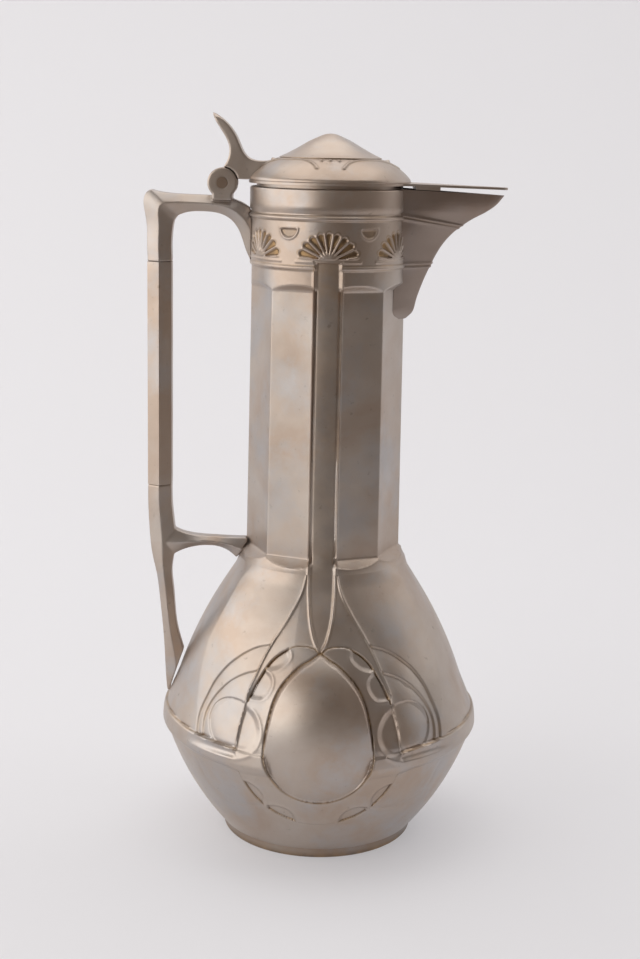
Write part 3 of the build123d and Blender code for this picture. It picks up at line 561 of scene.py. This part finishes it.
def neck_relief(turn, radius, z):
    """Distance from the axis of the neck with its flats, ribs, beads and frieze, and its patina."""
    patina = np.zeros(z.shape)
    result = neck_with_flats(turn, radius, z)

    # thin ribs at the front and the back, and the hollow column between them
    across = radius * np.abs(np.cos(turn))
    in_front = np.abs(np.sin(turn)) > 0.9
    column = smooth_step(6.4 - across, -0.2, 1.6) * in_front * (z < 293.6)
    slim = np.maximum(radius - NECK_HEAD_RADIUS, 0) * smooth_step(z, 150, 172)
    sunk = radius - COLUMN_DEPTH - slim
    result = np.where(column > 0, result * (1 - column) + sunk * column, result)
    rib = ridge(across - COLUMN_EDGE, 0.55) * in_front * (z < LOWER_BEAD + 0.9)
    result = np.maximum(result, (radius + RIB_HEIGHT - slim) * (rib > 0.02) * rib + result * (1 - rib))
    patina += 0.3 * rib

    # beads, of which the lower one stops at the column
    for height, grow in ((UPPER_BEAD, 0.0), (LOWER_BEAD, -BEAD_RADIUS / 2)):
        swell = np.sqrt(np.maximum(BEAD_RADIUS**2 - (z - height) ** 2, 0))
        gap_in_bead = (height == LOWER_BEAD) & in_front & (across < COLUMN_EDGE - 0.4)
        result = np.maximum(result, (FRIEZE_RADIUS + grow + swell) * (swell > 0) * ~gap_in_bead)
        patina += 0.45 * ridge(np.abs(z - height) - BEAD_RADIUS, 0.35) * ~gap_in_bead

    patina += add_frieze(result, turn, z, in_front & (across < 7.0)) + 0.25 * column
    return result, np.clip(patina, 0, 1)


def spout_half_width(z):
    """Half the width of the spout's passage through the wall of the neck."""
    heights = [264, 268.5, 276, 287.5, 299.5, 307.3, 313, 317.2, 321.1, 328]
    widths = [0, 4.4, 6.1, 8.2, 10.9, 13.0, 13.9, 14.4, 14.8, 15.3]
    return np.interp(z, heights, widths)


def open_to_spout(piece):
    """Takes the wall of the neck away where the spout stands."""
    deselect()
    bpy.context.view_layer.objects.active = piece
    piece.select_set(True)
    centres = np.empty(len(piece.data.polygons) * 3)
    piece.data.polygons.foreach_get("center", centres)
    centres = centres.reshape(-1, 3) / MM
    open_way = (centres[:, 0] > 0) & (np.abs(centres[:, 1]) < spout_half_width(centres[:, 2])) & (centres[:, 2] > 265.5)
    bpy.ops.object.mode_set(mode="EDIT")
    bpy.ops.mesh.select_mode(type="FACE")
    bpy.ops.mesh.select_all(action="DESELECT")
    bpy.ops.object.mode_set(mode="OBJECT")
    piece.data.polygons.foreach_set("select", open_way)
    bpy.ops.object.mode_set(mode="EDIT")
    bpy.ops.mesh.delete(type="FACE")
    bpy.ops.object.mode_set(mode="OBJECT")


def build_neck():
    columns = 600
    outer, inside = neck_profile()
    line = np.vstack([outer, inside, outer[:1]])
    rows = len(line)
    piece = tube("neck", columns, rows)
    row, share = rows_and_shares(piece, rows)

    # the last row lies on the first one
    row = row % (rows - 1)
    turn = share * 2 * pi
    radius, z = line[row, 0], line[row, 1]
    outside = row < len(outer) - RIM_EDGE_POINTS
    new_radius, patina = neck_relief(turn, radius, z)
    hold = smooth_step(z, SEAM_HEIGHT, SEAM_HEIGHT + 1.5)
    hold = np.maximum(hold, in_column(radius * np.cos(turn)))
    radius = np.where(outside, radius + (new_radius - radius) * hold, radius)
    place_points(piece, np.stack([radius * np.cos(turn), radius * np.sin(turn), z], 1) * MM)
    keep_patina(piece, np.where(outside, patina, 0.0))
    close_shell(piece)
    open_to_spout(piece)
    return piece


def dome_relief(turn, radius, z):
    """Low arches between fans of dots, with a small leaf below the dots, four times round the tier."""
    quarter = (turn + pi / 4) % (pi / 2) - pi / 4
    across = np.abs(quarter) * TIER_MIDDLE_RADIUS
    up = np.hypot(DOME_RADIUS - radius, z - DOME_BASE)
    from_arch = distance_to(across, up, LID_ARCH)
    height = 0.65 * ridge(from_arch, 0.55)
    for x, y in LID_DOTS:
        height += 1.1 * ridge(np.hypot(across - x, up - y), 0.95)
    leaf = np.hypot(across / 1.8, (up - 10.4) / 3.0)
    height += 0.3 * smooth_step(1 - leaf, 0, 1.0)
    return height, 0.35 * ridge(from_arch - 0.9, 0.4)


def build_dome():
    """Lid dome in two tiers, with its ornament on the lower one."""
    foot = np.array([
        (DOME_RADIUS + 0.1, DOME_BASE), (DOME_RADIUS + 0.3, DOME_BASE + 0.5), (DOME_RADIUS + 0.2, DOME_BASE + 1.0)])
    tier = arc_between((DOME_RADIUS, DOME_BASE + 1.6), (24.6, 341.2), TIER_BULGE, 60)
    step = np.array([(24.7, 341.5), (24.6, 341.8)])
    cone = spline([
        (24.3, 341.9), (20.5, 343.6), (15.0, 346.6), (10.5, 349.2), (6.0, 351.3), (2.6, 352.6), (0.0, 352.9)], share=8)
    outer = np.vstack([foot, tier, step, cone])
    inner = np.array([(0.0, 351.0), (6.0, 349.5), (15.0, 344.6), (23.0, 340.0), (30.0, 335.8), (36.4, DOME_BASE)])
    line = np.vstack([outer, inner, outer[:1]])
    rows = len(line)
    piece = tube("dome", 480, rows)
    row, share = rows_and_shares(piece, rows)
    turn = share * 2 * pi
    radius, z = line[row, 0], line[row, 1]
    on_tier = (row >= len(foot)) & (row < len(foot) + len(tier))
    height, patina = [np.where(on_tier, amount, 0.0) for amount in dome_relief(turn, radius, z)]
    patina = patina + 0.5 * ridge(z - 341.4, 0.3) * (row < len(outer))
    radius = radius + 0.6 * height
    z = z + 0.8 * height
    place_points(piece, np.stack([radius * np.cos(turn), radius * np.sin(turn), z], 1) * MM)
    keep_patina(piece, np.clip(patina, 0, 1))
    close_shell(piece)
    return piece


def spout_levels(share):
    """Level, weight of the mouth's fall, centre of the rounded keel and slant of the sides, by share of height."""
    keel = spline([(point[1], point[0]) for point in SPOUT_KEEL])
    slants = spline([(point[1], point[2]) for point in SPOUT_KEEL])
    level = SPOUT_KEEL[0][1] + share * (RIM_TOP - SPOUT_KEEL[0][1])
    weight = smooth_step(level, 296, RIM_TOP)
    nose_z = level.copy()
    for _ in range(8):
        nose_z = level - MOUTH_SLOPE * (np.interp(nose_z, keel[:, 0], keel[:, 1]) - MOUTH_ROOT) * weight
    reach = np.interp(nose_z, keel[:, 0], keel[:, 1])
    slant = np.radians(np.interp(nose_z, slants[:, 0], slants[:, 1]))
    return level, weight, reach - SPOUT_NOSE, slant


def spout_section(level, centre, slant, place, grow):
    """Where each point of the grid lies on its level cut, for a wall grown by an amount."""
    nose = SPOUT_NOSE + grow
    root = np.interp(level, (280, 290), (33.6, 35.6)) - 2.0
    touch_x, touch_y = centre + nose * np.sin(slant), nose * np.cos(slant)
    root_y = nose / np.cos(slant) + (centre - root) * np.tan(slant)
    low = np.clip(place / (SIDE_POINTS - 1), 0, 1)
    high = np.clip((2 * SIDE_POINTS + NOSE_POINTS - 1 - place) / (SIDE_POINTS - 1), 0, 1)
    angle = (pi / 2 - slant) * (1 - 2 * (place - SIDE_POINTS + 1) / (NOSE_POINTS + 1))
    x = centre + nose * np.cos(angle)
    y = nose * np.sin(angle)
    first, last = place < SIDE_POINTS, place >= SIDE_POINTS + NOSE_POINTS
    x = np.where(first, root + (touch_x - root) * low, np.where(last, root + (touch_x - root) * high, x))
    y = np.where(first, root_y + (touch_y - root_y) * low, np.where(last, -root_y - (touch_y - root_y) * high, y))
    return x, y


def build_spout():
    """V-shaped beak with a rounded keel, double beads and a mouth that falls to its tip."""
    columns, loop = 170, 2 * (2 * SIDE_POINTS + NOSE_POINTS)
    piece = tube("spout_beak", columns, loop + 1)
    row, share = rows_and_shares(piece, loop + 1)
    row = row % loop
    outside = row < loop // 2
    place = np.where(outside, row, loop - 1 - row)
    level, weight, centre, slant = spout_levels(share)
    x, y = spout_section(level, centre, slant, place, 0.0)
    for _ in range(2):
        z = level - MOUTH_SLOPE * (x - MOUTH_ROOT) * weight
        upper = z - (UPPER_BEAD - BEAD_FALL * (x - RIM_RADIUS))
        lower = z - LOWER_BEAD
        lift = 0.25 * (ridge(upper, 1.6) + ridge(lower, 1.6))
        for from_bead in (upper, lower):
            lift += 0.5 * (ridge(from_bead - 0.85, 0.42) + ridge(from_bead + 0.85, 0.42))
        x, y = spout_section(level, centre, slant, place, np.where(outside, lift, -SPOUT_WALL))
    dirt = np.where(outside, 0.35 * (ridge(upper, 0.4) + ridge(lower, 0.4)), 0.0)
    place_points(piece, np.stack([x, y, z], 1) * MM)
    keep_patina(piece, dirt)
    close_shell(piece, 50)
    return piece


def softened(node):
    """A casting with its edges worn round: a merged copy of a node's solid, remeshed and smoothed."""
    deselect()
    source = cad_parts[node]
    bpy.context.view_layer.objects.active = source
    source.select_set(True)
    bpy.ops.object.duplicate()
    piece = named(node + "_cast")
    bpy.ops.object.mode_set(mode="EDIT")
    bpy.ops.mesh.select_mode(type="VERT")
    bpy.ops.mesh.select_all(action="SELECT")
    bpy.ops.mesh.remove_doubles(threshold=1e-6)
    bpy.ops.object.mode_set(mode="OBJECT")
    remesh = piece.modifiers.new("remesh", "REMESH")
    remesh.mode = "VOXEL"
    remesh.voxel_size = CAST_VOXEL
    bpy.ops.object.modifier_apply(modifier="remesh")
    smooth = piece.modifiers.new("smooth", "SMOOTH")
    smooth.factor = 0.5
    smooth.iterations = CAST_SMOOTHING
    bpy.ops.object.modifier_apply(modifier="smooth")
    bpy.ops.object.shade_smooth()
    deselect()
    return piece


def node_tree(material):
    tree = material.node_tree
    shader = next(n for n in tree.nodes if n.type == "BSDF_PRINCIPLED")
    return tree, shader


def mixed(tree, factor, low, high):
    """A colour between two, by a factor; each end is a colour or another node's output."""
    mix = tree.nodes.new("ShaderNodeMix")
    mix.data_type = "RGBA"
    tree.links.new(factor, mix.inputs["Factor"])
    for socket, value in ((mix.inputs["A"], low), (mix.inputs["B"], high)):
        if isinstance(value, tuple):
            socket.default_value = (*value, 1)
        else:
            tree.links.new(value, socket)
    return mix.outputs["Result"]


def noise(tree, place, scale, detail=4.0, roughness=0.55, distortion=0.0):
    node = tree.nodes.new("ShaderNodeTexNoise")
    node.inputs["Scale"].default_value = scale
    node.inputs["Detail"].default_value = detail
    node.inputs["Roughness"].default_value = roughness
    node.inputs["Distortion"].default_value = distortion
    tree.links.new(place, node.inputs["Vector"])
    return node.outputs["Fac"]


def remap(tree, value, low, high, to_low=0.0, to_high=1.0):
    node = tree.nodes.new("ShaderNodeMapRange")
    node.inputs["From Min"].default_value = low
    node.inputs["From Max"].default_value = high
    node.inputs["To Min"].default_value = to_low
    node.inputs["To Max"].default_value = to_high
    tree.links.new(value, node.inputs["Value"])
    return node.outputs["Result"]


def bump(tree, height, strength, distance):
    node = tree.nodes.new("ShaderNodeBump")
    node.inputs["Strength"].default_value = strength
    node.inputs["Distance"].default_value = distance
    tree.links.new(height, node.inputs["Height"])
    return node


def pewter_colour(tree, place, tint):
    """Warm grey with brown and cool clouds and dull spots."""
    bases = (PEWTER_GREY, PEWTER_WARM, PEWTER_COOL)
    grey, warm, cool = [tuple(a * b for a, b in zip(base, tint)) for base in bases]
    clouds = remap(tree, noise(tree, place, 16.0, 5.0, 0.6, 0.4), 0.40, 0.60)
    cold = remap(tree, noise(tree, place, 29.0, 6.0, 0.65), 0.48, 0.66)
    colour = mixed(tree, clouds, grey, warm)
    colour = mixed(tree, cold, colour, cool)
    spots = remap(tree, noise(tree, place, 260.0, 3.0, 0.6), 0.66, 0.78, 0.0, 0.5)
    return mixed(tree, spots, colour, SPOT_COLOUR)


def with_gold(tree, place, colour, with_patina, gold_below):
    """Golden brown where the patina lies, and up to a height above the table."""
    gold = mixed(tree, remap(tree, noise(tree, place, 120.0, 4.0), 0.36, 0.62), GOLD_LIGHT, GOLD_DARK)
    if with_patina:
        layer = tree.nodes.new("ShaderNodeAttribute")
        layer.attribute_name = "patina"
        colour = mixed(tree, remap(tree, layer.outputs["Fac"], 0.05, 0.95, 0.0, 0.88), colour, gold)
    if gold_below:
        parts = tree.nodes.new("ShaderNodeSeparateXYZ")
        tree.links.new(place, parts.inputs["Vector"])
        colour = mixed(tree, remap(tree, parts.outputs["Z"], 0.0, gold_below, 0.75, 0.0), colour, gold)
    return colour


def make_pewter(name, tint=(1.0, 1.0, 1.0), with_patina=False, gold_below=None):
    """Old pewter: clouded colour, uneven polish, fine grain and shallow dents."""
    material = bpy.data.materials.new(name)
    material.use_nodes = True
    tree, shader = node_tree(material)
    place = tree.nodes.new("ShaderNodeTexCoord").outputs["Object"]
    colour = pewter_colour(tree, place, tint)
    if with_patina or gold_below:
        colour = with_gold(tree, place, colour, with_patina, gold_below)
    tree.links.new(colour, shader.inputs["Base Color"])
    shader.inputs["Metallic"].default_value = 1.0
    polish = noise(tree, place, 38.0, 6.0, 0.65)
    roughness = remap(tree, polish, 0.30, 0.70, PEWTER_ROUGHNESS - 0.07, PEWTER_ROUGHNESS + 0.10)
    tree.links.new(roughness, shader.inputs["Roughness"])
    grain = bump(tree, noise(tree, place, 700.0, 4.0, 0.6), 0.10, 0.0004)
    dents = bump(tree, noise(tree, place, 34.0, 2.0, 0.5), 0.12, 0.004)
    tree.links.new(grain.outputs["Normal"], dents.inputs["Normal"])
    tree.links.new(dents.outputs["Normal"], shader.inputs["Normal"])
    return material


def give(piece, material):
    piece.data.materials.clear()
    piece.data.materials.append(material)


def add_camera():
    camera = bpy.data.cameras.new("camera")
    camera.lens = CAMERA_LENS
    camera.sensor_width = SENSOR
    holder = bpy.data.objects.new("camera", camera)
    bpy.context.collection.objects.link(holder)
    turn = Matrix.Rotation(pi / 2 - CAMERA_PITCH, 4, "X") @ Matrix.Rotation(CAMERA_ROLL, 4, "Z")
    holder.matrix_world = Matrix.Translation(CAMERA_PLACE) @ turn
    bpy.context.scene.camera = holder


def softbox(name, place, size, power, colour, aim):
    light = bpy.data.lights.new(name, "AREA")
    light.shape = "RECTANGLE"
    light.size, light.size_y = size
    light.energy = power
    light.color = colour
    holder = bpy.data.objects.new(name, light)
    bpy.context.collection.objects.link(holder)
    holder.location = place
    away = Vector(place) - Vector(aim)
    holder.rotation_euler = away.to_track_quat("Z", "Y").to_euler()


def add_light():
    """A bright window on the left, soft light from above and behind, and the dim room before the pitcher."""
    softbox("window", (-1.45, -1.0, 0.6), (3.0, 1.6), 27.0, (1.0, 0.985, 0.965), (0, -0.5, 0.25))
    softbox("wall_left", (-1.5, 1.0, 0.75), (1.4, 1.4), 8.0, (1.0, 0.99, 0.97), (0, 0, 0.2))
    softbox("ceiling", (0.0, 0.3, 1.8), (2.2, 1.8), 18.0, (1.0, 0.995, 0.985), (0, 0, 0.1))
    softbox("wall_right", (1.6, 0.45, 0.9), (1.5, 1.4), 5.0, (0.98, 0.98, 1.0), (0, 0, 0.2))
    world = bpy.data.worlds.new("room")
    bpy.context.scene.world = world
    world.use_nodes = True
    tree = world.node_tree
    path = tree.nodes.new("ShaderNodeLightPath")
    colour = mixed(tree, path.outputs["Is Camera Ray"], ROOM_COLOUR, CLOTH_SEEN)
    tree.links.new(colour, tree.nodes["Background"].inputs["Color"])


def make_cloth():
    """Pale cloth that shows part of its colour as a glow, in the picture and in reflections only."""
    material = bpy.data.materials.new("pale_cloth")
    material.use_nodes = True
    tree, shader = node_tree(material)
    shader.inputs["Base Color"].default_value = (0.80, 0.795, 0.815, 1)
    shader.inputs["Roughness"].default_value = 0.95
    shader.inputs["Specular IOR Level"].default_value = 0.1
    glow = tree.nodes.new("ShaderNodeEmission")
    glow.inputs["Color"].default_value = (*CLOTH_SEEN, 1)
    path = tree.nodes.new("ShaderNodeLightPath")
    seen = tree.nodes.new("ShaderNodeMath")
    seen.operation = "MAXIMUM"
    tree.links.new(path.outputs["Is Camera Ray"], seen.inputs[0])
    tree.links.new(path.outputs["Is Glossy Ray"], seen.inputs[1])
    share = tree.nodes.new("ShaderNodeMath")
    share.operation = "MULTIPLY"
    tree.links.new(seen.outputs["Value"], share.inputs[0])
    share.inputs[1].default_value = GLOW_SHARE
    blend = tree.nodes.new("ShaderNodeMixShader")
    tree.links.new(share.outputs["Value"], blend.inputs["Fac"])
    tree.links.new(shader.outputs["BSDF"], blend.inputs[1])
    tree.links.new(glow.outputs["Emission"], blend.inputs[2])
    output = next(n for n in tree.nodes if n.type == "OUTPUT_MATERIAL")
    tree.links.new(blend.outputs["Shader"], output.inputs["Surface"])
    return material


def build_floor():
    """A pale cloth that lies under the pitcher and rises behind it in one sweep."""
    rows, width = 48, 3.6
    deselect()
    bpy.ops.mesh.primitive_grid_add(x_subdivisions=4, y_subdivisions=rows, size=1)
    floor = named("cloth")
    level = np.array([(-0.4, 0.0), (0.55, 0.0)])
    sweep = arc((0.55, 0.7), 0.7, -90, 0, 30)
    path = rows_along(np.vstack([level, sweep, [(1.25, 1.9)]]), rows + 1)
    points = points_of(floor)
    row = np.rint((points[:, 1] + 0.5) * rows).astype(int)
    place_points(floor, np.stack([points[:, 0] * width, path[row, 0], path[row, 1]], 1))
    bpy.ops.object.shade_smooth()
    give(floor, make_cloth())


pewter = make_pewter("pewter")
relief_pewter = make_pewter("relief_pewter", with_patina=True)
# The spout's pewter is tinted darker and browner than the rest: painted shade for the dark room that its slanted sides
# reflect.
spout_pewter_painted_shade = make_pewter("spout_pewter_painted_shade", tint=(0.61, 0.56, 0.54), with_patina=True)
foot_pewter = make_pewter("foot_pewter", tint=(0.74, 0.70, 0.66), gold_below=0.0030)
pin_metal = make_pewter("pin_metal", tint=(0.7, 0.62, 0.55))

for node, cad_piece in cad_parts.items():
    give(cad_piece, {"hinge_pin": pin_metal, "foot_ring": foot_pewter}.get(node, pewter))

belly_front = build_belly_half()
made = [
    (belly_front, "belly_front", "pitcher", relief_pewter),
    (mirrored_to_back(belly_front, "belly_back_relief"), "belly_back", "pitcher", relief_pewter),
    (build_neck(), "neck_shell", "pitcher", relief_pewter),
    (build_dome(), "lid_dome", "lid", relief_pewter),
    (build_spout(), "spout", "pitcher", spout_pewter_painted_shade),
]
for node, body in (("handle_top_bracket", "pitcher"), ("handle_bottom_bracket", "pitcher"), ("lid_lever", "lid")):
    made.append((softened(node), node, body, pewter))
for piece, node, body, material in made:
    give(piece, material)
    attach(piece, body)
    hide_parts(node)

build_floor()
add_camera()
add_light()
bpy.context.scene.view_settings.view_transform = "Standard"
